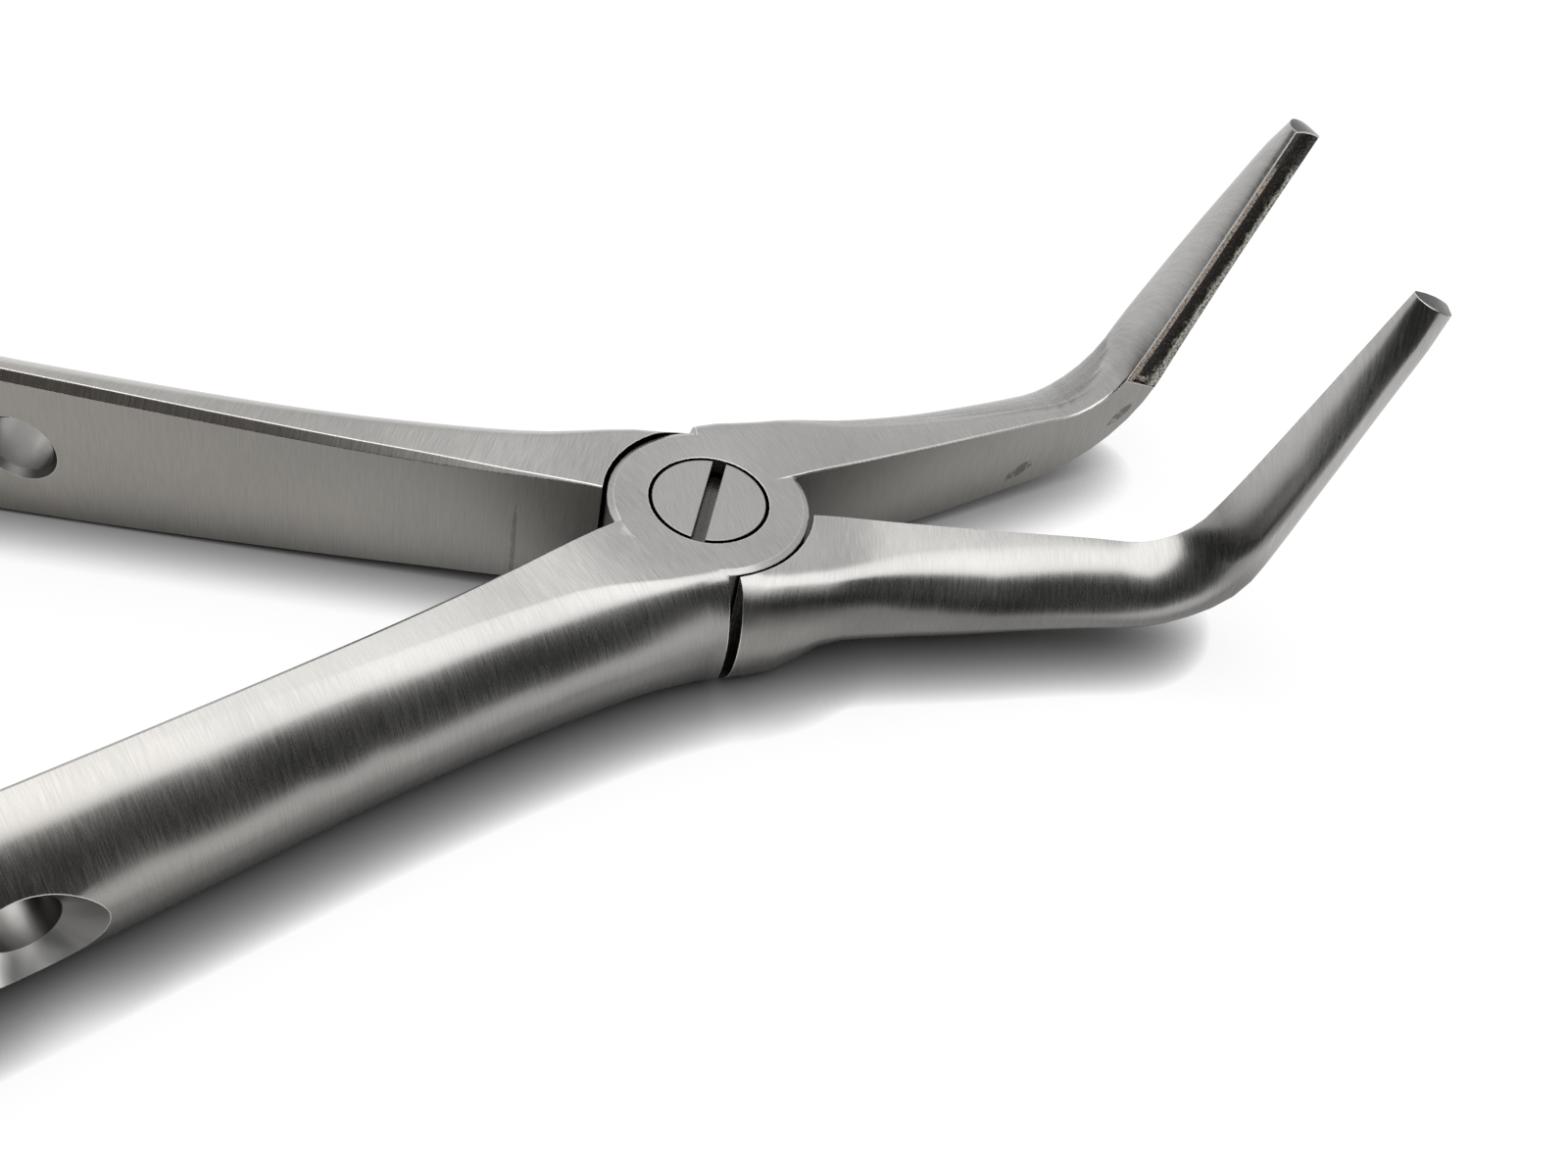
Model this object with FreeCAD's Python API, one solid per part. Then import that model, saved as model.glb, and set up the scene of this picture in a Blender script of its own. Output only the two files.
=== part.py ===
# Dental extraction forceps with a lap joint, a slotted pivot screw,
# pierced handles and upturned beaks lined with grit.
# Lengths are millimetres, angles are degrees.
#
# Frame: the origin is on the pivot axis in the plane of the joint's underside.
# +Z runs up the pivot axis, +X towards the beaks along the line that halves
# the opening. The model stands open by BEAK_ANGLE on each side of that line.
#
# Each half is one forging: a handle on one side of the line, a lapped disc at
# the pivot and a beak on the other side. The lower half's forging is the upper
# half's mirrored across the XZ plane, and the lap is cut from opposite sides.

import FreeCAD, Part
import bisect
import math
import os

# Joint
JOINT_HEIGHT = 9.4
DISC_RADIUS = 6.65
DISC_EDGE = 0.4
DISC_EDGE_DROP = 0.2
HUB_RADIUS = 8.9
HANDLE_STOP_ANGLE = 90.5
BEAK_STOP_ANGLE = 85.5
SHOULDER_GAP = 0.3
LAP_GAP = 0.05

# Pivot screw
HEAD_RADIUS = 3.73
HEAD_HEIGHT = 2.3
SLOT_WIDTH = 0.92
SLOT_DEPTH = 1.4
SLOT_ANGLE = 67.0
SHANK_RADIUS = 2.6
THREAD_RADIUS = 2.2
HEAD_GAP = 0.27
RUNNING_GAP = 0.05
SEAT_GAP = 0.03

# Handles, each with a flat inner face and a rounded back
HANDLE_ANGLE = 22.66
HANDLE_INSET = 1.11
HANDLE_LENGTH = 120.0
HANDLE_THICKNESS = 6.4
HANDLE_EDGE = 0.6
STRAIGHT_LENGTH = 50.0
SWEEP_RADIUS = 350.0
END_RADIUS = 7.6

# Holes through the handles
HOLE_COUNT = 5
HOLE_RADIUS = 2.3
HOLE_START = 46.8
HOLE_END_DISTANCE = 17.2
HOLE_BEVEL = 0.45
HOLE_MOUTH_RADIUS = 4.2

# Arms and beaks, each with a flat inner face and a rounded back
BEAK_ANGLE = 11.65
BEAK_INSET = 0.48
ARM_START = 5.2
ARM_SLOPE = 5.5
ARM_REACH = 32.8
BEND_RADIUS = 8.0
BEAK_LEAN = 73.8
BEAK_LENGTH = 25.7
BEAK_EDGE = 0.1
TIP_RADIUS = 5.0

# Grit lining of the gripping faces
GRIT_THICKNESS = 0.18
GRIT_LAND = 0.15
GRIT_LENGTH = 21.1
GROOVE_DEPTH = 0.4
GROOVE_SHARE = 0.6

# Ruled lofts: the number of sections, how far they run past the pivot and past the
# cut end, and how much closer together the handle's sections are at the joint
HANDLE_SECTIONS = 56
BEAK_SECTIONS = 44
GRIT_SECTIONS = 9
HANDLE_ROOT = 6.0
BEAK_ROOT = 2.0
OVERRUN = 2.0
CROWDING = 1.3

# Stations of the handle, as (share of its length, value)
HANDLE_TOP_DROP = [(0.05, 0), (0.125, 0.72), (0.217, 1.52), (0.392, 2.4), (0.625, 3.2), (0.833, 4.3),
                   (1.03, 5.6)]
HANDLE_BOTTOM_DROP = [(0.05, 0), (0.125, 1.42), (0.217, 3.22), (0.392, 5.95), (0.583, 7.9), (0.75, 8.2),
                      (1.03, 6.6)]
HANDLE_TOP_SLOPE = [(0.1, 0), (0.4, 0.12)]
HANDLE_SWELL = [(0.07, 2.0), (0.117, 1.1), (0.167, 0.55), (0.25, 0.1), (0.392, 0)]
HANDLE_TOP_FLAT = [(0, 6.9), (0.042, 6.1), (0.1, 3.7), (0.167, 2.6), (0.283, 1.5), (0.392, 0.9)]
HANDLE_BOTTOM_FLAT = [(0, 7.4), (0.083, 4.6), (0.208, 2.2), (0.392, 1.0)]
HANDLE_TOP_FULLNESS = [(0, 0.36), (0.25, 0.33)]
HANDLE_BOTTOM_FULLNESS = [(0, 0.64), (0.208, 0.56)]
HANDLE_EDGE_SHARE = [(0.055, 0.15), (0.167, 0.8), (0.333, 1.0)]

# Stations of the arm and beak, as (stretch, value). Stretch 0 to 1 is the arm,
# 1 to 2 the bend and 2 to 3 the beak. Top and bottom are measured square from
# the middle line.
BEAK_TOP = [(0.47, 4.1), (0.64, 3.72), (0.82, 3.38), (1, 3.0), (1.47, 2.2), (2, 1.5), (2.24, 1.3),
            (2.63, 1.25), (3, 1.25)]
BEAK_BOTTOM = [(0.32, 2.75), (0.47, 3.3), (0.64, 3.6), (0.82, 3.3), (1, 2.85), (1.47, 2.25), (2, 1.75),
               (2.24, 1.5), (2.63, 1.3), (3, 1.25)]
BEAK_THICKNESS = [(0.22, 7.2), (0.36, 6.4), (0.51, 5.8), (0.73, 5.3), (0.98, 5.0), (1.47, 5.1), (2, 5.0),
                  (2.34, 4.2), (2.73, 2.9), (2.93, 2.1), (3, 1.4)]
BEAK_TOP_FLAT = [(0, 6.0), (0.29, 4.6), (0.51, 2.6), (0.8, 1.2), (1.47, 0.6), (3, 0.3)]
BEAK_BOTTOM_FLAT = [(0, 6.2), (0.29, 3.6), (0.51, 1.5), (0.8, 0.6), (3, 0.3)]
BEAK_TOP_FULLNESS = [(0.02, 0.45), (0.16, 0.66), (0.73, 0.56), (1.7, 0.45)]
BEAK_BOTTOM_FULLNESS = [(0.07, 0.6), (0.44, 0.5), (0.95, 0.4), (1.4, 0.5), (1.9, 0.82), (2.4, 0.8)]
BEAK_TURN_SHARE = [(0.22, 0), (0.65, 1)]
HUB_TOP_STRETCH = 0.22
HUB_BOTTOM_STRETCH = 0.19

ORIGIN = FreeCAD.Vector(0, 0, 0)
UP = FreeCAD.Vector(0, 0, 1)
SIDEWAYS = FreeCAD.Vector(0, 1, 0)


def smooth_value(stations, at):
    """Value at a place, from a smooth curve through a few stations, level beyond its ends."""
    places = [place for place, value in stations]
    values = [value for place, value in stations]
    if at <= places[0]:
        return values[0]
    if at >= places[-1]:
        return values[-1]
    steps = [(values[i + 1] - values[i]) / (places[i + 1] - places[i]) for i in range(len(stations) - 1)]
    slopes = [0.0]
    for before, after in zip(steps, steps[1:]):
        slopes.append(0.0 if before * after <= 0 else 2 * before * after / (before + after))
    slopes.append(steps[-1])
    i = bisect.bisect_right(places, at) - 1
    span = places[i + 1] - places[i]
    t = (at - places[i]) / span
    rise = values[i + 1] - values[i]
    start = slopes[i] * span
    end = slopes[i + 1] * span
    return values[i] + t * start + t * t * (3 * rise - 2 * start - end) + t ** 3 * (start + end - 2 * rise)


def outline_wire(place, corners):
    """Closed wire through (thickness, height) corners, curved where a corner has poles before it."""
    pieces = []
    here = corners[-1][-1]
    for poles in corners:
        if len(poles) == 1:
            pieces.append(Part.makeLine(place(*here), place(*poles[0])))
        else:
            curve = Part.BezierCurve()
            curve.setPoles([place(*pole) for pole in [here] + poles])
            pieces.append(curve.toShape())
        here = poles[-1]
    return Part.Wire(pieces)


def section_wire(place, levels, thickness, flats, edges, fullness, slope=0):
    """D-shaped section: a flat inner face at zero thickness and a rounded back.

    Each pair gives the lower and the upper value: the levels, the width that
    stays flat there, the bevel of the inner face and how full the back's corner
    is. The slope is the fall of the upper flat towards the back.
    """
    low, high = levels
    middle = (low + high) / 2

    def at_flat(side, out):
        """Point on a flat, or on its line beyond it."""
        fall = slope * (out - edges[1]) if side else 0
        return out, levels[side] - fall

    def shoulder(side):
        """The two poles that bend the back from a flat to its outermost point."""
        return [at_flat(side, flats[side] + fullness[side] * (thickness - flats[side])),
                (thickness, middle + fullness[side] * (levels[side] - middle))]

    upper = shoulder(1)
    lower = shoulder(0)
    return outline_wire(place, [
        [(0, low + edges[0])],
        [(0, high - edges[1])],
        [(edges[1], high)],
        [at_flat(1, flats[1])],
        upper + [(thickness, middle)],
        lower[::-1] + [(flats[0], low)],
        [(edges[0], low)],
    ])


def spread(first, last, count, crowding=1.0):
    """Places from the first to the last, evenly spaced or closer together at the first."""
    return [first + (last - first) * (i / (count - 1)) ** crowding for i in range(count)]


def ruled_loft(sections):
    """Solid with straight lines between neighbouring sections."""
    return Part.makeLoft(sections, True, True)


def turned(shape, angle):
    """The shape turned about the pivot axis."""
    copy = shape.copy()
    copy.rotate(ORIGIN, UP, angle)
    return copy


def moved_out(shape, distance):
    """The shape moved along Y."""
    copy = shape.copy()
    copy.translate(SIDEWAYS * distance)
    return copy


def hub_thickness(reach, inset):
    """Thickness from an inner face to the round of the hub."""
    return inset + math.sqrt(HUB_RADIUS ** 2 - reach ** 2)


def handle_value(stations, reach):
    """Value of a handle size at a distance along the inner face."""
    return smooth_value([(share * HANDLE_LENGTH, value) for share, value in stations], reach)


def handle_point(reach, out, height):
    """Point at a distance along the handle's inner face and at a thickness out from it."""
    past = max(0.0, reach - STRAIGHT_LENGTH)
    turn = past / SWEEP_RADIUS
    x = min(reach, STRAIGHT_LENGTH) + (SWEEP_RADIUS + out) * math.sin(turn)
    y = out * math.cos(turn) - SWEEP_RADIUS * (1 - math.cos(turn))
    return FreeCAD.Vector(x, y, height)


def handle_out(reach):
    """Direction from the handle's inner face to its back."""
    return (handle_point(reach, 1, 0) - handle_point(reach, 0, 0)).normalize()


def handle_levels(reach):
    """Lowest and highest level of the handle."""
    return -handle_value(HANDLE_BOTTOM_DROP, reach), JOINT_HEIGHT - handle_value(HANDLE_TOP_DROP, reach)


def handle_section(reach):
    """Section of the handle at a distance along its inner face."""
    swell_start = HANDLE_SWELL[0][0] / 2
    if reach < swell_start * HANDLE_LENGTH:
        thickness = hub_thickness(reach, HANDLE_INSET)
    else:
        at_hub = hub_thickness(swell_start * HANDLE_LENGTH, HANDLE_INSET) - HANDLE_THICKNESS
        thickness = HANDLE_THICKNESS + handle_value([(swell_start, at_hub)] + HANDLE_SWELL, reach)
    edge = HANDLE_EDGE * handle_value(HANDLE_EDGE_SHARE, reach)
    flats = (handle_value(HANDLE_BOTTOM_FLAT, reach), handle_value(HANDLE_TOP_FLAT, reach))
    fullness = (handle_value(HANDLE_BOTTOM_FULLNESS, reach), handle_value(HANDLE_TOP_FULLNESS, reach))

    def place(out, height):
        return handle_point(reach, out, height)

    slope = handle_value(HANDLE_TOP_SLOPE, reach)
    return section_wire(place, handle_levels(reach), thickness, flats, (edge / 2, edge), fullness, slope)


def handle_end_cutter():
    """What lies beyond the handle's domed end."""
    reach = HANDLE_LENGTH - END_RADIUS
    centre = handle_point(reach, HANDLE_THICKNESS / 2, sum(handle_levels(HANDLE_LENGTH)) / 2)
    size = 6 * END_RADIUS
    beyond = Part.makeBox(size, size, size, FreeCAD.Vector(0, -size / 2, -size / 2))
    beyond = turned(beyond, -math.degrees(max(0.0, reach - STRAIGHT_LENGTH) / SWEEP_RADIUS))
    beyond.translate(centre)
    return beyond.cut(Part.makeSphere(END_RADIUS, centre))


def handle_hole(reach):
    """Cutter for one hole: a bore, a small bevel on the inner face and a wide mouth in the back."""
    face = handle_point(reach, 0, sum(handle_levels(reach)) / 2)
    across = handle_out(reach)
    bore = Part.makeCylinder(HOLE_RADIUS, 3 * HANDLE_THICKNESS, face - across * HANDLE_THICKNESS, across)
    bevel = Part.makeCone(HOLE_RADIUS + 2 * HOLE_BEVEL, HOLE_RADIUS, 2 * HOLE_BEVEL,
                          face - across * HOLE_BEVEL, across)
    depth = HOLE_MOUTH_RADIUS - HOLE_RADIUS
    mouth = Part.makeCone(HOLE_RADIUS, HOLE_MOUTH_RADIUS + depth, 2 * depth,
                          face + across * (HANDLE_THICKNESS - depth), across)
    return bore.fuse([bevel, mouth])


def handle_body():
    """One handle in its own frame: +X away from the joint, +Y from the inner face to the back."""
    reaches = spread(-HANDLE_ROOT, HANDLE_LENGTH + OVERRUN, HANDLE_SECTIONS, CROWDING)
    body = ruled_loft([handle_section(reach) for reach in reaches])
    hole_reaches = spread(HOLE_START, HANDLE_LENGTH - HOLE_END_DISTANCE, HOLE_COUNT)
    return body.cut([handle_end_cutter()] + [handle_hole(reach) for reach in hole_reaches])


def beak_stretches():
    """Lengths of the arm, the bend and the beak along their middle line."""
    bend = math.radians(BEAK_LEAN - ARM_SLOPE)
    tangent = BEND_RADIUS * math.tan(bend / 2)
    return ARM_REACH / math.cos(math.radians(ARM_SLOPE)) - tangent, BEND_RADIUS * bend, BEAK_LENGTH - tangent


def beak_length(stretch):
    """Distance along the middle line at which a stretch, or a share of one, ends."""
    lengths = beak_stretches()
    whole = min(max(int(stretch), 0), 2)
    return sum(lengths[:whole]) + (stretch - whole) * lengths[whole]


def beak_value(stations, along):
    """Value of a beak size at a distance along the middle line."""
    return smooth_value([(beak_length(stretch), value) for stretch, value in stations], along)


def beak_middle(along):
    """Point of the middle line in the plane of the inner face, and the line's angle there."""
    arm, bend, beak = beak_stretches()
    slope = math.radians(ARM_SLOPE)
    turn = min(max(0.0, along - arm) / BEND_RADIUS, bend / BEND_RADIUS)
    angle = slope + turn
    straight = min(along, arm)
    rest = max(0.0, along - arm - bend)
    x = straight * math.cos(slope) + rest * math.cos(angle)
    z = straight * math.sin(slope) + rest * math.sin(angle)
    x += BEND_RADIUS * (math.sin(angle) - math.sin(slope))
    z += BEND_RADIUS * (math.cos(slope) - math.cos(angle))
    return x, z + JOINT_HEIGHT / 2 - ARM_START * math.tan(slope), angle


def beak_place(along):
    """Placement of a section: upright at the hub, square to the middle line further out."""
    x, z, angle = beak_middle(along)
    lean = angle * beak_value(BEAK_TURN_SHARE, along)

    def place(out, height):
        return FreeCAD.Vector(x - height * math.sin(lean), out, z + height * math.cos(lean))

    return place


def beak_levels(along):
    """Lowest and highest point of a section, from the middle line."""
    centre = beak_middle(along)[1]
    top_start = beak_middle(beak_length(HUB_TOP_STRETCH))[1]
    bottom_start = beak_middle(beak_length(HUB_BOTTOM_STRETCH))[1]
    low = centre
    high = JOINT_HEIGHT - centre
    if along > beak_length(HUB_TOP_STRETCH):
        high = beak_value([(HUB_TOP_STRETCH, JOINT_HEIGHT - top_start)] + BEAK_TOP, along)
    if along > beak_length(HUB_BOTTOM_STRETCH):
        low = beak_value([(HUB_BOTTOM_STRETCH, bottom_start)] + BEAK_BOTTOM, along)
    return -low, high


def beak_section(along):
    """Section of the arm and beak at a distance along the middle line."""
    swell_start = BEAK_THICKNESS[0][0] / 2
    if along < beak_length(swell_start):
        thickness = hub_thickness(along, -BEAK_INSET)
    else:
        at_hub = hub_thickness(beak_length(swell_start), -BEAK_INSET)
        thickness = beak_value([(swell_start, at_hub)] + BEAK_THICKNESS, along)
    flats = (beak_value(BEAK_BOTTOM_FLAT, along), beak_value(BEAK_TOP_FLAT, along))
    fullness = (beak_value(BEAK_BOTTOM_FULLNESS, along), beak_value(BEAK_TOP_FULLNESS, along))
    edges = (BEAK_EDGE, BEAK_EDGE)
    return section_wire(beak_place(along), beak_levels(along), thickness, flats, edges, fullness)


def tip_cutter(radius):
    """What lies beyond the beak's tip, rounded to a radius about the tip's own centre."""
    x, z, angle = beak_middle(beak_length(3) - TIP_RADIUS)
    size = 12 * TIP_RADIUS
    beyond = Part.makeBox(size, size, size, FreeCAD.Vector(0, -size / 2, -size / 2))
    beyond = beyond.cut(Part.makeCylinder(radius, size, SIDEWAYS * (-size / 2), SIDEWAYS))
    beyond.rotate(ORIGIN, SIDEWAYS, -math.degrees(angle))
    beyond.translate(FreeCAD.Vector(x, 0, z))
    return beyond


def grit_section(along, front, grow):
    """Section of the grit lining: flat rims on each side of a hollow groove."""
    low, high = beak_levels(along)
    low += GRIT_LAND - grow
    high -= GRIT_LAND - grow
    groove = GROOVE_SHARE * high
    back = GRIT_THICKNESS + grow
    hollow = 4 / 3 * GROOVE_DEPTH
    corners = [[(front, low)], [(back, low)], [(back, -groove)],
               [(back + hollow, -groove / 2), (back + hollow, groove / 2), (back, groove)],
               [(back, high)], [(front, high)]]
    if front == 0:
        corners += [[(0, groove)], [(hollow, groove / 2), (hollow, -groove / 2), (0, -groove)]]
    return outline_wire(beak_place(along), corners)


def grit_body(front, grow):
    """Lining of the gripping face, or the recess for it when it grows by the seat's gap."""
    end = beak_length(3)
    start = end - GRIT_LENGTH - grow
    places = spread(start, end, GRIT_SECTIONS)
    body = ruled_loft([grit_section(along, front, grow) for along in places])
    return body.cut(tip_cutter(TIP_RADIUS - GRIT_LAND + grow))


def beak_body():
    """One arm and beak in its own frame: +X away from the joint, +Y from the inner face to the back."""
    places = spread(-BEAK_ROOT, beak_length(3) + OVERRUN, BEAK_SECTIONS)
    body = ruled_loft([beak_section(along) for along in places])
    return body.cut([tip_cutter(TIP_RADIUS), grit_body(-GROOVE_DEPTH, SEAT_GAP)])


def beyond_stop(angle):
    """Big block on the left of the upright plane that runs from the pivot axis at an angle."""
    size = 4 * HUB_RADIUS
    return turned(Part.makeBox(size, size, size, FreeCAD.Vector(-size / 4, 0, -size / 3)), angle)


def placed_beak(shape):
    """A beak's shape turned to its place on the upper half."""
    return turned(moved_out(shape, BEAK_INSET), BEAK_ANGLE)


def mirrored(shape):
    """The shape on the other side of the line that halves the opening."""
    return shape.mirror(ORIGIN, SIDEWAYS)


def forging():
    """Handle and beak of the upper half, each ending at its stop face beside the pivot."""
    handle = turned(moved_out(handle_body(), -HANDLE_INSET), 180 + HANDLE_ANGLE)
    handle = handle.cut(beyond_stop(-HANDLE_STOP_ANGLE))
    beak = placed_beak(beak_body()).cut(beyond_stop(BEAK_STOP_ANGLE))
    return handle.fuse(beak)


def cylinder(radius, low, high):
    """Cylinder about the pivot axis between two levels."""
    return Part.makeCylinder(radius, high - low, FreeCAD.Vector(0, 0, low))


def disc(lap, face):
    """Lapped disc from the lap to an outer face, with a small bevel on its free rim."""
    low, high = sorted((lap, face))
    at_face = DISC_RADIUS - DISC_EDGE
    at_lap = at_face + (high - low) * DISC_EDGE / DISC_EDGE_DROP
    radii = (at_face, at_lap) if face < lap else (at_lap, at_face)
    return cylinder(DISC_RADIUS, low, high).common(Part.makeCone(*radii, high - low, UP * low))


def upper_half(body):
    """Upper disc, with the screw's counterbore and running hole."""
    lap = JOINT_HEIGHT / 2 + LAP_GAP / 2
    body = body.cut(cylinder(DISC_RADIUS + SHOULDER_GAP, -JOINT_HEIGHT, lap))
    body = body.fuse(disc(lap, JOINT_HEIGHT)).removeSplitter()
    counterbore = cylinder(HEAD_RADIUS + HEAD_GAP, JOINT_HEIGHT - HEAD_HEIGHT - SEAT_GAP, 2 * JOINT_HEIGHT)
    return body.cut([counterbore, cylinder(SHANK_RADIUS + RUNNING_GAP, 0, JOINT_HEIGHT)])


def lower_half(body):
    """Lower disc, tapped for the screw."""
    lap = JOINT_HEIGHT / 2 - LAP_GAP / 2
    body = mirrored(body).cut(cylinder(DISC_RADIUS + SHOULDER_GAP, lap, 2 * JOINT_HEIGHT))
    body = body.fuse(disc(lap, 0)).removeSplitter()
    return body.cut(cylinder(THREAD_RADIUS + SEAT_GAP, -JOINT_HEIGHT, JOINT_HEIGHT))


def pivot_screw():
    """Shouldered screw with a slotted head, flush with both faces of the joint."""
    shoulder = JOINT_HEIGHT / 2 - LAP_GAP / 2 + SEAT_GAP
    under_head = JOINT_HEIGHT - HEAD_HEIGHT
    screw = cylinder(THREAD_RADIUS, 0, shoulder).fuse(
        [cylinder(SHANK_RADIUS, shoulder, under_head), cylinder(HEAD_RADIUS, under_head, JOINT_HEIGHT)])
    slot = Part.makeBox(4 * HEAD_RADIUS, SLOT_WIDTH, 2 * SLOT_DEPTH,
                        FreeCAD.Vector(-2 * HEAD_RADIUS, -SLOT_WIDTH / 2, JOINT_HEIGHT - SLOT_DEPTH))
    return screw.removeSplitter().cut(turned(slot, SLOT_ANGLE))


def save(shape, node):
    """Write the one solid of a shape as a STEP file."""
    (solid,) = shape.Solids
    solid.exportStep("parts/" + node + ".step")


os.makedirs("parts", exist_ok=True)
blank = forging()
lining = placed_beak(grit_body(0, 0))
save(upper_half(blank), "upper_half")
save(lower_half(blank), "lower_half")
save(pivot_screw(), "pivot_screw")
save(lining, "upper_beak_grit")
save(mirrored(lining), "lower_beak_grit")
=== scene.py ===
# Looks of the dental extraction forceps: satin steel, grit linings, floor, light and camera.
# Lengths are metres unless they are multiplied by MM, and angles are degrees.

import math

import bpy
from mathutils import Matrix, Vector

MM = 0.001

# Camera of the photograph
CAMERA_PLACE = Vector((-27.83, -79.08, 88.27)) * MM
CAMERA_AZIMUTH = -23.56
CAMERA_ELEVATION = 45.54
CAMERA_ROLL = 13.70
CAMERA_LENS = 40.5
SENSOR_WIDTH = 36.0
NEAREST_SEEN = 5 * MM

# Directions and places of the forging, as in the CAD source
HANDLE_ANGLE = 22.66
BEAK_ANGLE = 11.65
BEAK_LEAN = 73.8
STRAIGHT_LENGTH = 50 * MM
SWEEP_RADIUS = 350 * MM
HOLE_REACHES = [(46.8 + 14 * i) * MM for i in range(5)]
HOLE_MOUTH = 4.6 * MM

# Grit lining from the origin: its start and end up along the leaning beak, the rest across it
GRIT_START = 20.65 * MM
GRIT_END = 41.77 * MM
GRIT_MIDDLE = -29.55 * MM
GROOVE_EDGES = (-30.12 * MM, -29.15 * MM)

# Floor, backdrop and light
FLOOR_SIZE = 3.0
FLOOR_COLOUR = (0.27, 0.27, 0.27)
FLOOR_LIFT = 0.75
RESTING_TRIES = 6
# Reach, depth and samples of the painted contact shadow in the floor's glow
SHADOW_REACH = 4.6 * MM
SHADOW_DEPTH = 4.2
SHADOW_SAMPLES = 16
TOP_LIGHT_PLACE = (-0.1, -0.06, 0.55)
TOP_LIGHT_SIZE = (1.1, 0.74)
TOP_LIGHT_POWER = 3.1
WORLD_LEVEL = 0.84
DARK_WALL_COLOUR = (0.02, 0.02, 0.02)
DARK_WALL_RADIUS = 0.5
DARK_WALL_TOP = 46.0
DARK_WALL_SPREAD = 200.0
DARK_WALL_STEPS = 32

# Shading of the CAD meshes
WELD_REACH = 0.001 * MM
SHARP_ANGLE = 20.0
EDGE_WIDTH = 0.12 * MM
EDGE_SAMPLES = 6

# Steel colours
STEEL_COLOUR = (0.49, 0.483, 0.469)
STEEL_DARK = (0.375, 0.368, 0.357)
STEEL_WARM = (0.50, 0.466, 0.416)
# Multipliers of the painted shade on the steep faces below the beak, outer and inner; on the inner faces it
# stands also for their coarser grinding
OUTER_PAINTED_SHADE = (0.42, 0.415, 0.41)
INNER_SHADE_AND_FINISH = (0.68, 0.665, 0.645)
# Multiplier of the painted shade on the handle's inner bevel
BEVEL_PAINTED_SHADE = (0.34, 0.32, 0.3)
# Colour of the painted highlight along the edges
EDGE_HIGHLIGHT = (0.9, 0.89, 0.87)
# Holes: walls darkened as painted shade, mouths paled as painted light, and the painted shade on walls that
# look back and down
SHADED_HOLE_STEEL = (0.36, 0.352, 0.34)
LIT_MOUTH_STEEL = (0.95, 0.94, 0.925)
HOLE_PAINTED_SHADE = (0.2, 0.195, 0.19)
SMUDGE_COLOUR = (0.05, 0.045, 0.04)
# Colour of the painted shade in narrow gaps
GAP_SHADE_COLOUR = (0.012, 0.011, 0.01)

# Steel roughness and grain
ROUGHNESS = (0.22, 0.31)
INNER_ROUGHNESS = (0.36, 0.46)
HOLE_ROUGHNESS = (0.3, 0.4)
GRAIN_PITCH = 0.07 * MM
GRAIN_LENGTH = 1.6 * MM
GRAIN_DETAIL = 3
GRAIN_SHARE = 0.6
GRAIN_DEPTH = 0.005 * MM
FORGING_BUMP = 0.07
SCREW_BUMP = 0.15
CLOUD_SIZE = 9 * MM
CLOUD_DETAIL = 2
HOLE_CLOUD_SIZE = 2 * MM

# Noise levels between which a colour or a roughness goes from its first value to its last
LIGHT_NOISE = (0.35, 0.65)
SCREW_NOISE = (0.2, 0.8)
ROUGHNESS_NOISE = (0.3, 0.7)

# Where the steel changes along the part's X axis and with its height
ARM_BEGINS = (3 * MM, 9 * MM)
WARM_REACH = (-12 * MM, -70 * MM)
BEVEL_REACH = (-9 * MM, -26 * MM)
BEAK_HEIGHTS = (11 * MM, 16 * MM)

# Cosines between which a face counts as looking in a direction
INNER_FACING = (0.85, 0.95)
BEVEL_FACING = (0.3, 0.5)
STEEP_FACING = (-0.62, -0.1)
TIP_FACING = (0.75, 0.95)
MOUTH_FACING = (0.15, 0.3)
HOLE_SHADE_FACING = (0.15, 0.5)
HOLE_SHADE_DROP = -0.2
FLANK_FACING = (0.6, 0.9)
# Cosines between the rounded and the true normal over which the painted edge highlight sets in
EDGE_HIGHLIGHT_FACING = (0.995, 0.93)
HOLE_WALL_COSINE = -0.5

# Arm turned outwards on its top and upwards on its flank, like a hand-polished forging
ARM_TILT = 0.24
TILT_REACH = (7 * MM, 12 * MM)
ARM_CROWN = 110.0
CROWN_REACH = (19 * MM, 31 * MM)
TOP_FADE = (9 * MM, 15 * MM)
FLANK_TILT = 0.3
FLANK_HEIGHTS = (3 * MM, 7 * MM)
FLANK_START = (0, 3 * MM)
FLANK_END = (25 * MM, 32 * MM)

# Painted shade in narrow gaps
GAP_REACH = 0.7 * MM
SLOT_REACH = 1.6 * MM
HOLE_GAP_REACH = 0.3 * MM
OPEN_LIMITS = (0.3, 0.62)
GAP_SAMPLES = 8

# Smudges and the handle's line, each as centre, half sizes and angle, and how ragged they are
BEND_SMUDGE = ((33.3 * MM, 9.0 * MM), (1.3 * MM, 0.42 * MM), 48)
ARM_SMUDGE = ((25.7 * MM, 5.3 * MM), (1.5 * MM, 0.5 * MM), 35)
HANDLE_LINE = ((-12.4 * MM, 2.1 * MM), (4.5 * MM, 0.2 * MM), 90)
SMUDGE_SHARE = 0.6
LINE_SHARE = 0.35
BLOT_FADE = (0.3, 1.2)
PATCH_NOISE = (0.35, 0.65)
PATCH_STRENGTH = (0.2, 1.6)
RAGGED_LIMITS = (0.25, 0.6)

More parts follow.
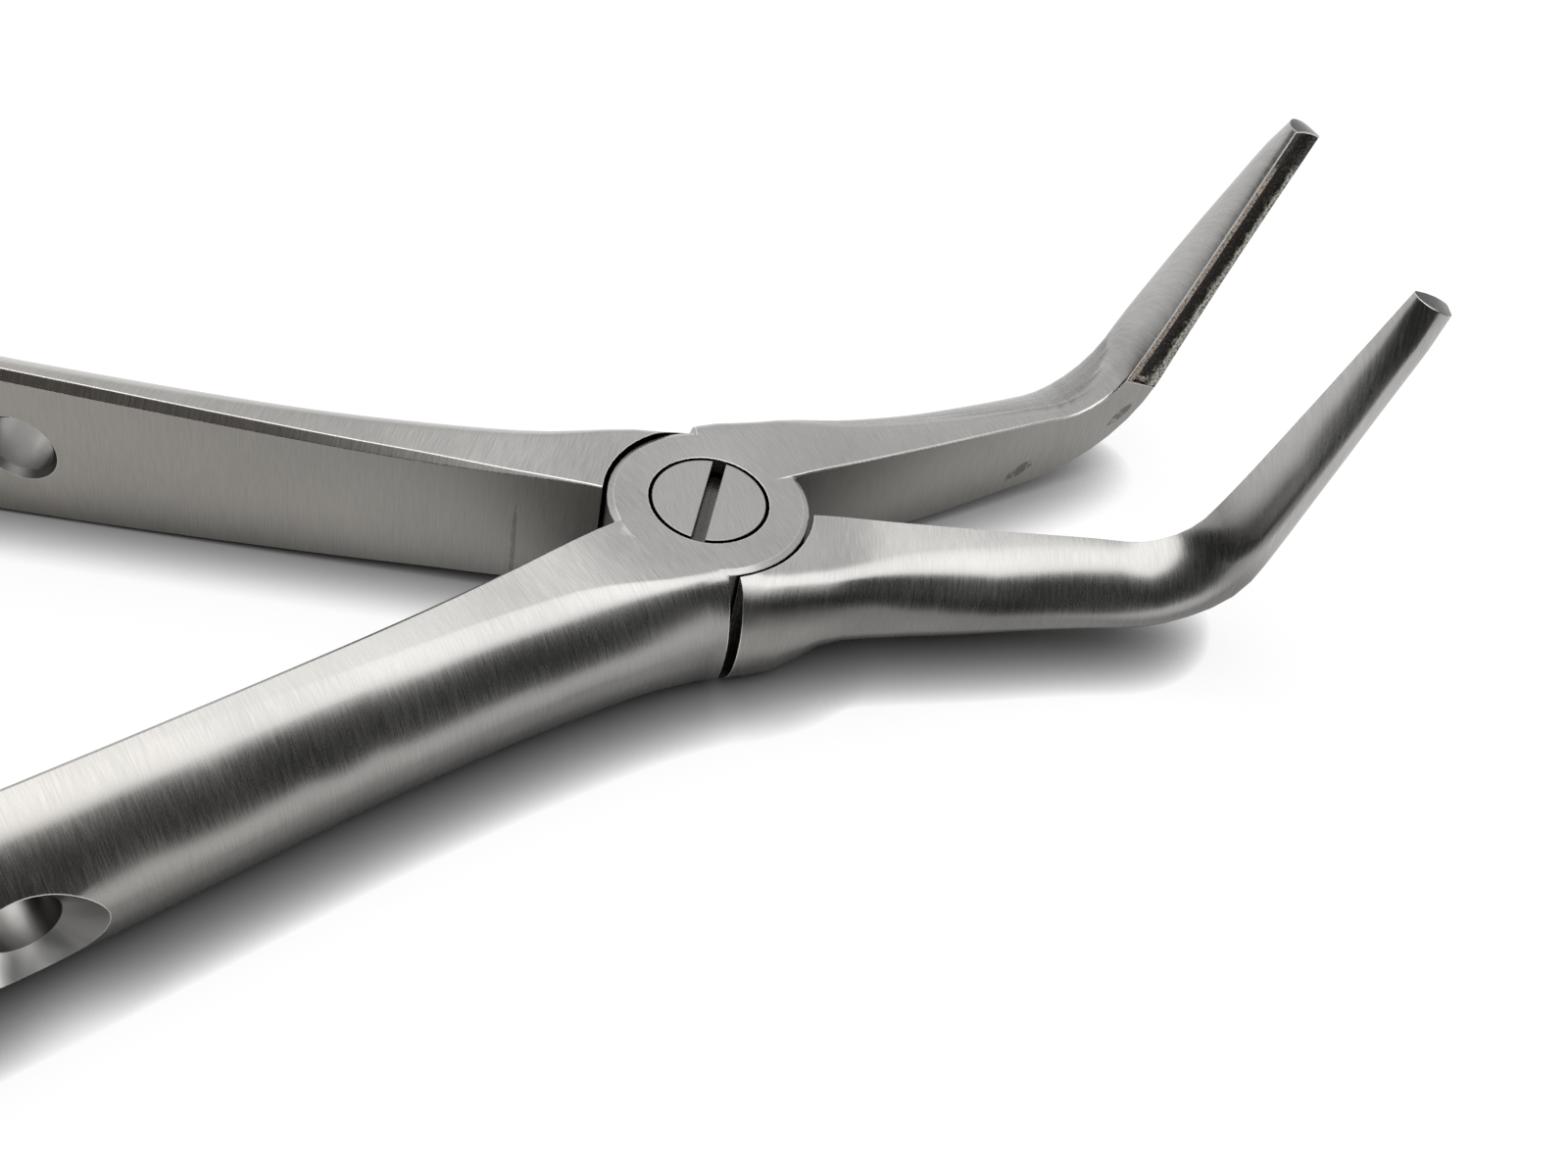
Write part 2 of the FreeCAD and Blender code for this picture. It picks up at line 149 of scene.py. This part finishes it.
# Grit
GRAIN_SIZE = 0.16 * MM
SPECK_DETAIL = 2
PATCH_SIZE = 0.6 * MM
PATCH_DETAIL = 4
RAGGEDNESS = 0.7 * MM
GRIT_BLUR = 0.1 * MM
GROOVE_START = 0.5 * MM
BOW_WIDTH = 0.55 * MM
BOW_DEPTH = 0.5 * MM
DARK_TIP = 3.2 * MM
TIP_RAGGEDNESS = 2 * MM
TIP_FADE = 1 * MM
TIP_SHARE = 0.8
TIP_DARKNESS = 0.85
START_RAGGEDNESS = 0.4 * MM
START_FADE = (0.05 * MM, 0.12 * MM)
START_DARKNESS = 0.9
RIM_BLUR = 0.3 * MM
RIM_BROWN = (0.40, 0.335, 0.28)
RIM_GREY = (0.42, 0.415, 0.37)
SPOT_COLOUR = (0.10, 0.085, 0.07)
SPOT_NOISE = (0.42, 0.54)
# Darkest grit, also painted as the shade of the concave groove
DARK_GRIT_AND_SHADE = (0.009, 0.007, 0.005)
GRIT_LIGHT = (0.08, 0.068, 0.055)
PALE_GRAIN_NOISE = (0.5, 0.66)
GRIT_BUMP_DEPTH = 0.06 * MM

# Finish of the lining, from its light rims to its dark grit
GRIT_METALLIC = (0.8, 0.15)
GRIT_ROUGHNESS = (0.42, 0.7)


def node(tree, kind, **values):
    """New shader node. Values named in_0, in_1 and so on go to its sockets, the rest are its own settings."""
    made = tree.nodes.new(kind)
    for name, value in values.items():
        if name.startswith("in_"):
            made.inputs[int(name[3:])].default_value = value
        else:
            setattr(made, name, value)
    return made


def empty_material(name):
    """Material whose tree holds only its output."""
    material = bpy.data.materials.new(name)
    material.use_nodes = True
    tree = material.node_tree
    tree.nodes.clear()
    return material, tree, node(tree, "ShaderNodeOutputMaterial")


def new_material(name, metallic=1):
    """Material with its tree and its main shader."""
    material, tree, output = empty_material(name)
    shader = node(tree, "ShaderNodeBsdfPrincipled")
    shader.inputs["Metallic"].default_value = metallic
    tree.links.new(shader.outputs["BSDF"], output.inputs["Surface"])
    return material, tree, shader


def turned_place(tree, turn):
    """Place on the part, seen from a frame turned by three angles."""
    place = node(tree, "ShaderNodeTexCoord")
    turned = node(tree, "ShaderNodeVectorRotate", rotation_type="EULER_XYZ", invert=True)
    turned.inputs["Rotation"].default_value = [math.radians(angle) for angle in turn]
    tree.links.new(place.outputs["Object"], turned.inputs["Vector"])
    return turned.outputs["Vector"]


def axis_values(tree, turn=(0, 0, 0)):
    """Position along X, Y and Z of a turned frame."""
    parts = node(tree, "ShaderNodeSeparateXYZ")
    tree.links.new(turned_place(tree, turn), parts.inputs["Vector"])
    return parts.outputs


def stretched_noise(tree, turn, sizes, detail, seed):
    """Noise whose grains have a size along each axis of a turned frame."""
    scaled = node(tree, "ShaderNodeMapping")
    scaled.inputs["Scale"].default_value = [1 / size for size in sizes]
    scaled.inputs["Location"].default_value = (seed, 2 * seed, 3 * seed)
    noise = node(tree, "ShaderNodeTexNoise")
    noise.inputs["Scale"].default_value = 1
    noise.inputs["Detail"].default_value = detail
    tree.links.new(turned_place(tree, turn), scaled.inputs["Vector"])
    tree.links.new(scaled.outputs["Vector"], noise.inputs["Vector"])
    return noise.outputs["Fac"]


def even_noise(tree, size, detail, seed):
    """Noise whose grains have one size in all directions."""
    return stretched_noise(tree, (0, 0, 0), (size,) * 3, detail, seed)


def map_range(tree, value, low, high, to_low=0, to_high=1, smooth=False):
    """The value taken from one range to another, held at its ends."""
    made = node(tree, "ShaderNodeMapRange", interpolation_type="SMOOTHSTEP" if smooth else "LINEAR")
    for socket, number in zip(("From Min", "From Max", "To Min", "To Max"), (low, high, to_low, to_high)):
        made.inputs[socket].default_value = number
    tree.links.new(value, made.inputs["Value"])
    return made.outputs["Result"]


def calc(tree, operation, *values):
    """Result of one sum. Each value is an output or a number."""
    made = node(tree, "ShaderNodeMath", operation=operation)
    for socket, value in zip(made.inputs, values):
        if isinstance(value, (int, float)):
            socket.default_value = value
        else:
            tree.links.new(value, socket)
    return made.outputs[0]


def product(tree, first, *others):
    """All the values multiplied."""
    total = first
    for value in others:
        total = calc(tree, "MULTIPLY", total, value)
    return total


def mix_values(tree, share, first, second):
    """Mix of two value outputs."""
    made = node(tree, "ShaderNodeMix", data_type="FLOAT")
    tree.links.new(share, made.inputs[0])
    tree.links.new(first, made.inputs[2])
    tree.links.new(second, made.inputs[3])
    return made.outputs[0]


def mix_colours(tree, share, first, second, blend="MIX"):
    """Mix of two colours, each an output or a plain colour, by a value output."""
    made = node(tree, "ShaderNodeMix", data_type="RGBA", blend_type=blend)
    tree.links.new(share, made.inputs[0])
    for socket, colour in ((made.inputs[6], first), (made.inputs[7], second)):
        if isinstance(colour, tuple):
            socket.default_value = (*colour, 1)
        else:
            tree.links.new(colour, socket)
    return made.outputs[2]


def dot_product(tree, first, second):
    """Cosine between two directions. The second is an output or a plain direction."""
    made = node(tree, "ShaderNodeVectorMath", operation="DOT_PRODUCT")
    tree.links.new(first, made.inputs[0])
    if isinstance(second, tuple):
        made.inputs[1].default_value = second
    else:
        tree.links.new(second, made.inputs[1])
    return made.outputs["Value"]


def facing(tree, direction, low, high):
    """How far the surface faces a direction of the part: 0 at the low cosine and 1 at the high one."""
    normal = node(tree, "ShaderNodeTexCoord").outputs["Normal"]
    return map_range(tree, dot_product(tree, normal, direction), low, high, smooth=True)


def gap_shaded(tree, colour, reach):
    """The colour, going black in narrow gaps: painted shade where little light gets in."""
    openness = node(tree, "ShaderNodeAmbientOcclusion", samples=GAP_SAMPLES, in_1=reach)
    lit_share = map_range(tree, openness.outputs["AO"], *OPEN_LIMITS, smooth=True)
    return mix_colours(tree, lit_share, GAP_SHADE_COLOUR, colour)


def bump(tree, height, strength, distance, normal=None):
    """Normal bent by a height."""
    made = node(tree, "ShaderNodeBump")
    made.inputs["Strength"].default_value = strength
    made.inputs["Distance"].default_value = distance
    tree.links.new(height, made.inputs["Height"])
    if normal is not None:
        tree.links.new(normal, made.inputs["Normal"])
    return made.outputs["Normal"]


def edge_normal(tree):
    """Normal with the sharp edges rounded over a small width."""
    made = node(tree, "ShaderNodeBevel", samples=EDGE_SAMPLES)
    made.inputs["Radius"].default_value = EDGE_WIDTH
    return made.outputs["Normal"]


def pushed_normal(tree, normal, direction, share):
    """The normal with a share of a direction of the part added to it."""
    turned = node(tree, "ShaderNodeVectorTransform", vector_type="VECTOR",
                  convert_from="OBJECT", convert_to="WORLD")
    turned.inputs[0].default_value = direction
    scaled = node(tree, "ShaderNodeVectorMath", operation="SCALE")
    total = node(tree, "ShaderNodeVectorMath", operation="ADD")
    tree.links.new(turned.outputs[0], scaled.inputs[0])
    tree.links.new(share, scaled.inputs["Scale"])
    tree.links.new(normal, total.inputs[0])
    tree.links.new(scaled.outputs[0], total.inputs[1])
    return total.outputs[0]


def handle_inner(side):
    """Where the inner face of a handle looks."""
    angle = math.radians(HANDLE_ANGLE)
    return -math.sin(angle), side * math.cos(angle), 0


def beak_inner(side):
    """Where the inner face of an arm and its beak looks."""
    angle = math.radians(BEAK_ANGLE)
    return math.sin(angle), -side * math.cos(angle), 0


def opposite(direction):
    """The direction turned round."""
    return tuple(-part for part in direction)


def arm_normal(tree, side):
    """Normal with the edges rounded, the arm's top turned outwards and its flank upwards."""
    outwards = opposite(beak_inner(side))
    along, sideways, height = axis_values(tree, (0, 0, side * BEAK_ANGLE))
    away = calc(tree, "MAXIMUM", calc(tree, "MULTIPLY", sideways, side), 0)
    crown = product(tree, map_range(tree, along, *CROWN_REACH, 0, ARM_CROWN), away)
    tilt = map_range(tree, along, *TILT_REACH, 0, ARM_TILT, smooth=True)
    low = map_range(tree, height, *TOP_FADE, 1, 0, smooth=True)
    top_share = product(tree, calc(tree, "ADD", crown, tilt), low)
    flank_share = product(
        tree,
        facing(tree, outwards, *FLANK_FACING),
        map_range(tree, height, *FLANK_HEIGHTS, 0, FLANK_TILT, smooth=True),
        map_range(tree, along, *FLANK_START, smooth=True),
        map_range(tree, along, *FLANK_END, 1, 0, smooth=True),
    )
    normal = pushed_normal(tree, edge_normal(tree), outwards, top_share)
    normal = pushed_normal(tree, normal, (0, 0, 1), flank_share)
    unit = node(tree, "ShaderNodeVectorMath", operation="NORMALIZE")
    tree.links.new(normal, unit.inputs[0])
    return unit.outputs[0]


def blot(tree, first, second, centre, half_sizes, angle):
    """Long spot in a plane of two positions: 1 in its middle and 0 outside it."""
    aside = calc(tree, "SUBTRACT", first, centre[0])
    above = calc(tree, "SUBTRACT", second, centre[1])
    run = math.cos(math.radians(angle))
    rise = math.sin(math.radians(angle))
    half_length, half_width = half_sizes
    length = calc(tree, "MULTIPLY_ADD", aside, run / half_length, product(tree, above, rise / half_length))
    width = calc(tree, "MULTIPLY_ADD", above, run / half_width, product(tree, aside, -rise / half_width))
    square = calc(tree, "MULTIPLY_ADD", length, length, product(tree, width, width))
    return map_range(tree, square, *BLOT_FADE, 1, 0, smooth=True)


def marked(tree, colour, turn, spots, mask, share):
    """The colour with ragged dark spots, placed by length and height in a turned frame, where the mask is."""
    along, _, height = axis_values(tree, turn)
    total = blot(tree, along, height, *spots[0])
    for spot in spots[1:]:
        total = calc(tree, "MAXIMUM", total, blot(tree, along, height, *spot))
    patches = even_noise(tree, PATCH_SIZE, PATCH_DETAIL, 6)
    strength = map_range(tree, patches, *PATCH_NOISE, *PATCH_STRENGTH)
    ragged = map_range(tree, product(tree, total, strength), *RAGGED_LIMITS)
    return mix_colours(tree, product(tree, ragged, mask, share), colour, SMUDGE_COLOUR)


def dark_marks(tree, colour, side, inner_behind, inner_ahead):
    """The colour with two smudges on the upper half's arm, or one upright line on the lower half's handle."""
    if side > 0:
        turn = (0, 0, side * BEAK_ANGLE)
        return marked(tree, colour, turn, [BEND_SMUDGE, ARM_SMUDGE], inner_ahead, SMUDGE_SHARE)
    turn = (0, 0, side * HANDLE_ANGLE)
    return marked(tree, colour, turn, [HANDLE_LINE], inner_behind, LINE_SHARE)


def highlighted_edges(tree, colour):
    """The colour, paler along the edges: a painted highlight where the rounded edges catch the light."""
    surface = node(tree, "ShaderNodeNewGeometry")
    agreement = dot_product(tree, surface.outputs["Normal"], edge_normal(tree))
    return mix_colours(tree, map_range(tree, agreement, *EDGE_HIGHLIGHT_FACING), colour, EDGE_HIGHLIGHT)


def grit_bed(tree, grains):
    """Dark bonded grit with a few paler grains."""
    return mix_colours(tree, map_range(tree, grains, *PALE_GRAIN_NOISE), DARK_GRIT_AND_SHADE, GRIT_LIGHT)


def tip_finish(tree, colour, side):
    """The colour with dark grit over the beak's end."""
    angle = math.radians(side * BEAK_ANGLE)
    lean = math.radians(BEAK_LEAN)
    ahead = (math.cos(lean) * math.cos(angle), math.cos(lean) * math.sin(angle), math.sin(lean))
    along = axis_values(tree, (0, -BEAK_LEAN, side * BEAK_ANGLE))[0]
    high = map_range(tree, along, GRIT_END - 2 * TIP_FADE, GRIT_END - TIP_FADE)
    share = product(tree, facing(tree, ahead, *TIP_FACING), high, TIP_SHARE)
    grains = even_noise(tree, GRAIN_SIZE, SPECK_DETAIL, side + 7)
    return mix_colours(tree, share, colour, grit_bed(tree, grains))


def forging_grain(tree, side, ahead):
    """Grain that runs across the handle, and ahead of the joint across the arm and the beak."""
    sizes = (GRAIN_PITCH, GRAIN_LENGTH, GRAIN_LENGTH)
    on_handle = stretched_noise(tree, (0, 0, side * HANDLE_ANGLE), sizes, GRAIN_DETAIL, side)
    on_arm = stretched_noise(tree, (0, 0, side * BEAK_ANGLE), sizes, GRAIN_DETAIL, side + 5)
    return mix_values(tree, ahead, on_handle, on_arm)


def forging_colour(tree, place, shade):
    """Brushed steel that gets warmer towards the handle's end."""
    light = map_range(tree, shade, *LIGHT_NOISE)
    plain = mix_colours(tree, light, STEEL_DARK, STEEL_COLOUR)
    warm = mix_colours(tree, light, STEEL_DARK, STEEL_WARM)
    return mix_colours(tree, map_range(tree, place, *WARM_REACH), plain, warm)


def shaded_steep_faces(tree, colour, height, inner):
    """The colour, darker on the steep faces below the beak, and less so on the inner ones: painted shade for
    the shadowed floor that these faces reflect, and on the inner faces also their coarser ground finish.
    """
    low = map_range(tree, height, *BEAK_HEIGHTS, 1, 0, smooth=True)
    steep = facing(tree, (0, 0, -1), *STEEP_FACING)
    steep_shade_tint = mix_colours(tree, inner, OUTER_PAINTED_SHADE, INNER_SHADE_AND_FINISH)
    return mix_colours(tree, product(tree, low, steep), colour, steep_shade_tint, "MULTIPLY")


def shaded_bevel(tree, colour, place, side, inner_behind):
    """The colour, darker on the bevel along the handle's inner edge: painted shade for the dark surroundings
    that the bevel reflects.
    """
    turned_in = facing(tree, handle_inner(side), *BEVEL_FACING)
    bevel = calc(tree, "SUBTRACT", turned_in, inner_behind)
    share = product(tree, bevel, map_range(tree, place, *BEVEL_REACH))
    return mix_colours(tree, share, colour, BEVEL_PAINTED_SHADE, "MULTIPLY")


def satin_steel(name, side):
    """Brushed steel of one half. Side is 1 on the upper half and -1 on the lower."""
    material, tree, shader = new_material(name)
    place, _, height = axis_values(tree)
    ahead = map_range(tree, place, *ARM_BEGINS, smooth=True)
    grain = forging_grain(tree, side, ahead)
    cloud = even_noise(tree, CLOUD_SIZE, CLOUD_DETAIL, side + 9)
    shade = calc(tree, "MULTIPLY_ADD", grain, GRAIN_SHARE, product(tree, cloud, 1 - GRAIN_SHARE))
    inner_behind = facing(tree, handle_inner(side), *INNER_FACING)
    inner_ahead = facing(tree, beak_inner(side), *INNER_FACING)
    inner = mix_values(tree, ahead, inner_behind, inner_ahead)
    colour = forging_colour(tree, place, shade)
    colour = shaded_steep_faces(tree, colour, height, inner)
    colour = shaded_bevel(tree, colour, place, side, inner_behind)
    colour = dark_marks(tree, colour, side, inner_behind, inner_ahead)
    colour = tip_finish(tree, highlighted_edges(tree, colour), side)
    outer_roughness = map_range(tree, shade, *ROUGHNESS_NOISE, *ROUGHNESS)
    inner_roughness = map_range(tree, shade, *ROUGHNESS_NOISE, *INNER_ROUGHNESS)
    roughness = mix_values(tree, inner, outer_roughness, inner_roughness)
    normal = bump(tree, grain, FORGING_BUMP, GRAIN_DEPTH, arm_normal(tree, side))
    # Base colour with painted shade in the ring gap and other narrow gaps
    tree.links.new(gap_shaded(tree, colour, GAP_REACH), shader.inputs["Base Color"])
    tree.links.new(roughness, shader.inputs["Roughness"])
    tree.links.new(normal, shader.inputs["Normal"])
    return material


def screw_steel():
    """Ground steel of the screw, with a finer grain than the forging."""
    material, tree, shader = new_material("screw_steel")
    sizes = (GRAIN_PITCH / 2, GRAIN_LENGTH, GRAIN_LENGTH)
    grain = stretched_noise(tree, (0, 0, 0), sizes, GRAIN_DETAIL, 3)
    colour = mix_colours(tree, map_range(tree, grain, *SCREW_NOISE), STEEL_DARK, STEEL_COLOUR)
    roughness = map_range(tree, grain, *ROUGHNESS_NOISE, *ROUGHNESS)
    normal = bump(tree, grain, SCREW_BUMP, GRAIN_DEPTH, edge_normal(tree))
    # Painted shade in the slot and in the ring gap round the head
    tree.links.new(gap_shaded(tree, colour, SLOT_REACH), shader.inputs["Base Color"])
    tree.links.new(roughness, shader.inputs["Roughness"])
    tree.links.new(normal, shader.inputs["Normal"])
    return material


def hole_steel(name, side):
    """Smooth steel of a handle's holes, with painted shade and light: darker walls, pale in the wide mouths,
    and dark where a wall looks back and down.
    """
    material, tree, shader = new_material(name)
    mouth = facing(tree, opposite(handle_inner(side)), *MOUTH_FACING)
    colour = mix_colours(tree, mouth, SHADED_HOLE_STEEL, LIT_MOUTH_STEEL)
    angle = math.radians(HANDLE_ANGLE)
    back_and_down = (-math.cos(angle), -side * math.sin(angle), HOLE_SHADE_DROP)
    turned_away = facing(tree, back_and_down, *HOLE_SHADE_FACING)
    # Painted shade on the walls that look back and down
    colour = mix_colours(tree, turned_away, colour, HOLE_PAINTED_SHADE, "MULTIPLY")
    cloud = even_noise(tree, HOLE_CLOUD_SIZE, CLOUD_DETAIL, 2)
    roughness = map_range(tree, cloud, *ROUGHNESS_NOISE, *HOLE_ROUGHNESS)
    tree.links.new(gap_shaded(tree, colour, HOLE_GAP_REACH), shader.inputs["Base Color"])
    tree.links.new(roughness, shader.inputs["Roughness"])
    return material


def groove_share(tree, along, across, stray):
    """1 in the lining's groove and 0 on its rims, with ragged edges and a bowed start."""
    place = calc(tree, "MULTIPLY_ADD", stray, RAGGEDNESS, across)
    right, left = GROOVE_EDGES
    past_right = map_range(tree, place, right - GRIT_BLUR, right + GRIT_BLUR)
    before_left = map_range(tree, place, left - GRIT_BLUR, left + GRIT_BLUR, 1, 0)
    bow = calc(tree, "DIVIDE", calc(tree, "SUBTRACT", place, GRIT_MIDDLE), BOW_WIDTH)
    bowed = calc(tree, "MULTIPLY_ADD", product(tree, bow, bow), -BOW_DEPTH, along)
    start = GRIT_START + GROOVE_START
    begun = map_range(tree, bowed, start, start + GRIT_BLUR)
    return product(tree, before_left, past_right, begun)


def dark_share(tree, along, across, stray):
    """How far the dark grit shows: in the groove, where its near black also stands for painted shade, at the
    tip and in a thin line at the start.
    """
    tip_place = calc(tree, "MULTIPLY_ADD", stray, TIP_RAGGEDNESS, along)
    tip_start = GRIT_END - DARK_TIP
    near_tip = map_range(tree, tip_place, tip_start, tip_start + TIP_FADE, 0, TIP_DARKNESS)
    edge_place = calc(tree, "MULTIPLY_ADD", stray, START_RAGGEDNESS, along)
    fade_start, fade_end = [GRIT_START + reach for reach in START_FADE]
    near_start = map_range(tree, edge_place, fade_start, fade_end, START_DARKNESS, 0)
    ends = calc(tree, "MAXIMUM", near_tip, near_start)
    return calc(tree, "MAXIMUM", groove_share(tree, along, across, stray), ends)


def grit(name, side):
    """Dark grit in the groove, painted darker there as the groove's shade, and at the tip; light nickel with
    loose grains on the rims.
    """
    material, tree, shader = new_material(name)
    along, _, across = axis_values(tree, (0, -BEAK_LEAN, side * BEAK_ANGLE))
    grains = even_noise(tree, GRAIN_SIZE, SPECK_DETAIL, side)
    stray = calc(tree, "SUBTRACT", even_noise(tree, PATCH_SIZE, PATCH_DETAIL, side + 4), 0.5)
    dark = dark_share(tree, along, across, stray)
    to_left = map_range(tree, across, GRIT_MIDDLE - RIM_BLUR, GRIT_MIDDLE + RIM_BLUR)
    rim = mix_colours(tree, to_left, RIM_GREY, RIM_BROWN)
    rim = mix_colours(tree, map_range(tree, grains, *SPOT_NOISE), SPOT_COLOUR, rim)
    tree.links.new(mix_colours(tree, dark, rim, grit_bed(tree, grains)), shader.inputs["Base Color"])
    tree.links.new(map_range(tree, dark, 0, 1, *GRIT_METALLIC), shader.inputs["Metallic"])
    tree.links.new(map_range(tree, dark, 0, 1, *GRIT_ROUGHNESS), shader.inputs["Roughness"])
    tree.links.new(bump(tree, grains, 1, GRIT_BUMP_DEPTH), shader.inputs["Normal"])
    return material


def hole_centre(reach):
    """Place of a hole in its handle's own frame, where X runs along the inner face."""
    turn = max(0, reach - STRAIGHT_LENGTH) / SWEEP_RADIUS
    return min(reach, STRAIGHT_LENGTH) + SWEEP_RADIUS * math.sin(turn)


def paint_holes(name, side, material):
    """Give the walls of a handle's holes their own material."""
    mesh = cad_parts[name].data
    mesh.materials.append(material)
    turn = Matrix.Rotation(math.radians(-180 - HANDLE_ANGLE), 3, "Z") @ Matrix.Diagonal((1, side, 1))
    places = [turn @ vertex.co for vertex in mesh.vertices]
    for centre in [hole_centre(reach) for reach in HOLE_REACHES]:
        levels = [place.z for place in places if abs(place.x - centre) < HOLE_MOUTH / 2]
        middle = (min(levels) + max(levels)) / 2
        for polygon in mesh.polygons:
            place = turn @ polygon.center
            away = Vector((place.x - centre, 0, place.z - middle))
            inwards = away.normalized().dot(turn @ polygon.normal) < HOLE_WALL_COSINE
            if away.length < HOLE_MOUTH and inwards:
                polygon.material_index = 1


def paint(name, material):
    """Give a CAD node its material, and smooth shading that keeps the sharp edges."""
    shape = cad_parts[name]
    shape.data.materials.clear()
    shape.data.materials.append(material)
    shape.data.shade_smooth()
    welded = shape.modifiers.new("welded", "WELD")
    welded.merge_threshold = WELD_REACH
    edges = shape.modifiers.new("edges", "EDGE_SPLIT")
    edges.split_angle = math.radians(SHARP_ANGLE)
    shape.modifiers.new("normals", "WEIGHTED_NORMAL")


def resting_line():
    """Point and slope, seen from the side, of the line that the part rests on."""
    points = [v.co for name in ("upper_half", "lower_half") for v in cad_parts[name].data.vertices]
    behind = [(p.x, p.z) for p in points if p.x < 0]
    ahead = [(p.x, p.z) for p in points if p.x > 0]
    slope = 0
    for _ in range(RESTING_TRIES):
        back = min(behind, key=lambda p: p[1] - slope * p[0])
        front = min(ahead, key=lambda p: p[1] - slope * p[0])
        slope = (front[1] - back[1]) / (front[0] - back[0])
    return Vector((back[0], 0, back[1])), slope


def floor_material():
    """White floor that shows white to the camera and in the steel, with its own soft shadow and a painted
    contact shadow where its glow fades near the part.
    """
    material, tree, output = empty_material("floor")
    plain = node(tree, "ShaderNodeBsdfDiffuse", in_0=(*FLOOR_COLOUR, 1))
    glow = node(tree, "ShaderNodeEmission", in_0=(1, 1, 1, 1))
    both = node(tree, "ShaderNodeAddShader")
    # Painted contact shadow: the glow fades where the part hems the floor in
    openness = node(tree, "ShaderNodeAmbientOcclusion", samples=SHADOW_SAMPLES, in_1=SHADOW_REACH)
    lift = product(tree, calc(tree, "POWER", openness.outputs["AO"], SHADOW_DEPTH), FLOOR_LIFT)
    path = node(tree, "ShaderNodeLightPath").outputs
    seen = path["Is Camera Ray"]
    for kind in ("Is Glossy Ray", "Is Transmission Ray"):
        seen = calc(tree, "MAXIMUM", seen, path[kind])
    tree.links.new(product(tree, lift, seen), glow.inputs["Strength"])
    tree.links.new(plain.outputs[0], both.inputs[0])
    tree.links.new(glow.outputs[0], both.inputs[1])
    tree.links.new(both.outputs[0], output.inputs["Surface"])
    return material


def make_floor():
    """Floor under the part's resting line."""
    place, slope = resting_line()
    bpy.ops.mesh.primitive_plane_add(size=FLOOR_SIZE, location=place, rotation=(0, -math.atan(slope), 0))
    floor = bpy.context.object
    floor.name = "floor"
    floor.data.materials.append(floor_material())


def make_world():
    """Even white surroundings."""
    world = bpy.data.worlds.new("studio")
    bpy.context.scene.world = world
    world.use_nodes = True
    shade = world.node_tree.nodes["Background"]
    shade.inputs["Color"].default_value = (1, 1, 1, 1)
    shade.inputs["Strength"].default_value = WORLD_LEVEL


def dark_wall_mesh():
    """Strip that stands round the camera's side, with its foot just above the floor."""
    top = DARK_WALL_RADIUS * math.tan(math.radians(DARK_WALL_TOP))
    place, slope = resting_line()
    points = []
    for i in range(DARK_WALL_STEPS + 1):
        turn = DARK_WALL_SPREAD * (i / DARK_WALL_STEPS - 0.5)
        angle = math.radians(CAMERA_AZIMUTH + turn)
        x = DARK_WALL_RADIUS * math.sin(angle)
        y = -DARK_WALL_RADIUS * math.cos(angle)
        foot = place.z + slope * (x - place.x) + 2 * SHADOW_REACH
        points += [(x, y, foot), (x, y, top)]
    faces = [(2 * i, 2 * i + 1, 2 * i + 3, 2 * i + 2) for i in range(DARK_WALL_STEPS)]
    mesh = bpy.data.meshes.new("dark_wall")
    mesh.from_pydata(points, [], faces)
    return mesh


def make_dark_wall():
    """Dark curved card that gives the steel its dark bands. The camera doesn't see it."""
    material, _, shader = new_material("dark_wall", metallic=0)
    shader.inputs["Base Color"].default_value = (*DARK_WALL_COLOUR, 1)
    shader.inputs["Roughness"].default_value = 1
    wall = bpy.data.objects.new("dark_wall", dark_wall_mesh())
    wall.data.materials.append(material)
    wall.visible_camera = False
    bpy.context.scene.collection.objects.link(wall)


def make_light():
    """Large soft box above the part, which faces the joint."""
    lamp = bpy.data.lights.new("top_light", "AREA")
    lamp.shape = "RECTANGLE"
    lamp.size, lamp.size_y = TOP_LIGHT_SIZE
    lamp.energy = TOP_LIGHT_POWER
    holder = bpy.data.objects.new("top_light", lamp)
    holder.location = TOP_LIGHT_PLACE
    holder.rotation_euler = (-Vector(TOP_LIGHT_PLACE)).to_track_quat("-Z", "Y").to_euler()
    bpy.context.scene.collection.objects.link(holder)


def make_camera():
    """Camera at the photograph's place."""
    lens = bpy.data.cameras.new("camera")
    lens.lens = CAMERA_LENS
    lens.sensor_width = SENSOR_WIDTH
    lens.clip_start = NEAREST_SEEN
    holder = bpy.data.objects.new("camera", lens)
    azimuth = Matrix.Rotation(math.radians(CAMERA_AZIMUTH), 4, "Z")
    elevation = Matrix.Rotation(math.radians(90 - CAMERA_ELEVATION), 4, "X")
    roll = Matrix.Rotation(math.radians(CAMERA_ROLL), 4, "Z")
    holder.matrix_world = Matrix.Translation(CAMERA_PLACE) @ azimuth @ elevation @ roll
    bpy.context.scene.collection.objects.link(holder)
    bpy.context.scene.camera = holder


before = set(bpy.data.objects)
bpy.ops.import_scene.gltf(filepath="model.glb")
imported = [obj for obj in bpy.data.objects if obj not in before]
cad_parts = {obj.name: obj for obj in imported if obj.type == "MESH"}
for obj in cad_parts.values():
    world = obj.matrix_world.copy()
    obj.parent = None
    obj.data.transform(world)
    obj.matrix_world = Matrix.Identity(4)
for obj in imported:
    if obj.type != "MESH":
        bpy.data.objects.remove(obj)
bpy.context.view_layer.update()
bpy.context.scene.view_settings.view_transform = "Standard"
paint("upper_half", satin_steel("satin_steel_upper", 1))
paint("lower_half", satin_steel("satin_steel_lower", -1))
paint("pivot_screw", screw_steel())
paint("upper_beak_grit", grit("grit_upper", 1))
paint("lower_beak_grit", grit("grit_lower", -1))
paint_holes("upper_half", 1, hole_steel("hole_steel_upper", 1))
paint_holes("lower_half", -1, hole_steel("hole_steel_lower", -1))
make_floor()
make_world()
make_dark_wall()
make_light()
make_camera()
